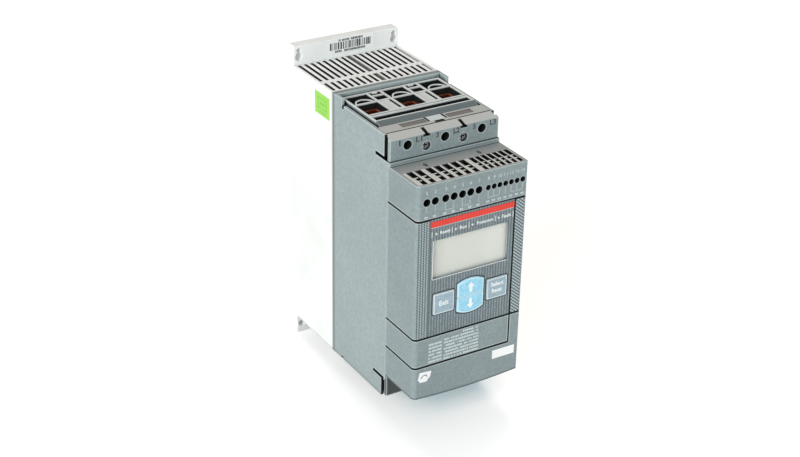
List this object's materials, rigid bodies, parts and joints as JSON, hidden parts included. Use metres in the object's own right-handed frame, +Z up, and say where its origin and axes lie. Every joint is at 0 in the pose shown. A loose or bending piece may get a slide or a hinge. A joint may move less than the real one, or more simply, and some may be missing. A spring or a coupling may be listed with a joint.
{
  "type": "soft starter",
  "caption": "Wall-mounted three-phase motor soft starter with a finned air duct behind, screw-cage power terminals at both ends, control terminals, a display and a keypad in front.",
  "frame": {"origin": "on the wall plane, at the middle of the mounting flange's back face", "axes": "+Y towards the wall, +Z up, +X to the right for someone who faces the keypad"},
  "size_m": [0.0906, 0.1871, 0.245],
  "materials": {
    "rear_plastic": "fine matte grain",
    "grey_plastic": "fine matte grain",
    "front_plastic": "fine matte grain",
    "block_plastic": "matte",
    "fascia_film": "satin film",
    "red_film": "satin film",
    "key_grey": "satin",
    "key_blue": "satin",
    "window_clear": "clear",
    "display_grey": "matte",
    "light_lens": "clear lens",
    "mat_rubber": "matte",
    "board_green": "solder mask",
    "strip_black": "matte",
    "module_grey": "matte",
    "relay_blue": "satin",
    "transformer_red": "matte",
    "copper": "rolled",
    "cage_metal": "plated, brown",
    "screw_steel": "zinc plated",
    "sink_aluminium": "extruded",
    "fan_black": "matte"
  },
  "bodies": {
    "frame": {"rear_housing": "rear_plastic", "heat_sink": "sink_aluminium", "fan_frame": "fan_black", "main_housing": "grey_plastic", "thyristor_module_1": "module_grey", "thyristor_module_3": "module_grey", "bypass_relay_1": "relay_blue", "bypass_relay_3": "relay_blue", "current_transformer_1": "transformer_red", "current_transformer_2": "transformer_red", "current_transformer_3": "transformer_red", "power_board": "board_green", "line_busbar_1": "copper", "line_busbar_3": "copper", "load_busbar_1": "copper", "load_busbar_3": "copper", "middle_busbar": "copper", "upper_terminal_block": "block_plastic", "lower_terminal_block": "block_plastic", "upper_shroud": "front_plastic", "lower_shroud": "front_plastic", "shroud_screws": "screw_steel", "control_terminal_cover": "front_plastic", "display_housing": "front_plastic", "label_cover": "front_plastic", "base_cover": "front_plastic", "fascia": "fascia_film", "red_stripe": "red_film", "window_pane": "window_clear", "display_module": "display_grey", "status_lights": "light_lens", "keypad_mat": "mat_rubber", "display_board": "board_green", "control_board": "board_green", "board_connector": "strip_black", "board_screws": "screw_steel", "relay_terminal_strip": "strip_black", "input_terminal_strip": "strip_black", "signal_terminal_strip": "strip_black", "terminal_screws": "screw_steel"},
    "exit_key": {"exit_key": "key_grey"},
    "up_key": {"up_key": "key_blue"},
    "down_key": {"down_key": "key_blue"},
    "select_key": {"select_key": "key_grey"},
    "fan_rotor": {"fan_rotor": "fan_black"},
    "line_screw_1": {"line_screw_1": "screw_steel"},
    "line_cage_1": {"line_cage_1": "cage_metal"},
    "line_screw_2": {"line_screw_2": "screw_steel"},
    "line_cage_2": {"line_cage_2": "cage_metal"},
    "line_screw_3": {"line_screw_3": "screw_steel"},
    "line_cage_3": {"line_cage_3": "cage_metal"},
    "load_screw_1": {"load_screw_1": "screw_steel"},
    "load_cage_1": {"load_cage_1": "cage_metal"},
    "load_screw_2": {"load_screw_2": "screw_steel"},
    "load_cage_2": {"load_cage_2": "cage_metal"},
    "load_screw_3": {"load_screw_3": "screw_steel"},
    "load_cage_3": {"load_cage_3": "cage_metal"}
  },
  "joints": [
    {"name": "exit_press", "type": "slide", "parent": "frame", "child": "exit_key", "axis": [0, 1, 0], "range_m": [0, 0.0008], "stiffness_N_per_m": 1500},
    {"name": "up_press", "type": "slide", "parent": "frame", "child": "up_key", "axis": [0, 1, 0], "range_m": [0, 0.0008], "stiffness_N_per_m": 1500},
    {"name": "down_press", "type": "slide", "parent": "frame", "child": "down_key", "axis": [0, 1, 0], "range_m": [0, 0.0008], "stiffness_N_per_m": 1500},
    {"name": "select_press", "type": "slide", "parent": "frame", "child": "select_key", "axis": [0, 1, 0], "range_m": [0, 0.0008], "stiffness_N_per_m": 1500},
    {"name": "fan_spin", "type": "hinge", "parent": "frame", "child": "fan_rotor", "pos_m": [0, -0.0345, -0.0949], "axis": [0, 0, 1], "continuous": true},
    {"name": "line_screw_turn_1", "type": "hinge", "parent": "frame", "child": "line_screw_1", "pos_m": [-0.0305, -0.1287, 0.0948], "axis": [0, 1, 0], "range_deg": [0, 1800]},
    {"name": "line_cage_draw_1", "type": "slide", "parent": "frame", "child": "line_cage_1", "axis": [0, -1, 0], "range_m": [0, 0.005]},
    {"name": "line_screw_turn_2", "type": "hinge", "parent": "frame", "child": "line_screw_2", "pos_m": [0, -0.1287, 0.0948], "axis": [0, 1, 0], "range_deg": [0, 1800]},
    {"name": "line_cage_draw_2", "type": "slide", "parent": "frame", "child": "line_cage_2", "axis": [0, -1, 0], "range_m": [0, 0.005]},
    {"name": "line_screw_turn_3", "type": "hinge", "parent": "frame", "child": "line_screw_3", "pos_m": [0.0305, -0.1287, 0.0948], "axis": [0, 1, 0], "range_deg": [0, 1800]},
    {"name": "line_cage_draw_3", "type": "slide", "parent": "frame", "child": "line_cage_3", "axis": [0, -1, 0], "range_m": [0, 0.005]},
    {"name": "load_screw_turn_1", "type": "hinge", "parent": "frame", "child": "load_screw_1", "pos_m": [-0.0305, -0.1287, -0.0948], "axis": [0, 1, 0], "range_deg": [0, 1800]},
    {"name": "load_cage_draw_1", "type": "slide", "parent": "frame", "child": "load_cage_1", "axis": [0, -1, 0], "range_m": [0, 0.005]},
    {"name": "load_screw_turn_2", "type": "hinge", "parent": "frame", "child": "load_screw_2", "pos_m": [0, -0.1287, -0.0948], "axis": [0, 1, 0], "range_deg": [0, 1800]},
    {"name": "load_cage_draw_2", "type": "slide", "parent": "frame", "child": "load_cage_2", "axis": [0, -1, 0], "range_m": [0, 0.005]},
    {"name": "load_screw_turn_3", "type": "hinge", "parent": "frame", "child": "load_screw_3", "pos_m": [0.0305, -0.1287, -0.0948], "axis": [0, 1, 0], "range_deg": [0, 1800]},
    {"name": "load_cage_draw_3", "type": "slide", "parent": "frame", "child": "load_cage_3", "axis": [0, -1, 0], "range_m": [0, 0.005]}
  ],
  "couplings": [
    {"joint": "line_screw_turn_1", "follows": "line_cage_draw_1", "rad_per_m": 6283},
    {"joint": "line_screw_turn_2", "follows": "line_cage_draw_2", "rad_per_m": 6283},
    {"joint": "line_screw_turn_3", "follows": "line_cage_draw_3", "rad_per_m": 6283},
    {"joint": "load_screw_turn_1", "follows": "load_cage_draw_1", "rad_per_m": 6283},
    {"joint": "load_screw_turn_2", "follows": "load_cage_draw_2", "rad_per_m": 6283},
    {"joint": "load_screw_turn_3", "follows": "load_cage_draw_3", "rad_per_m": 6283}
  ]
}
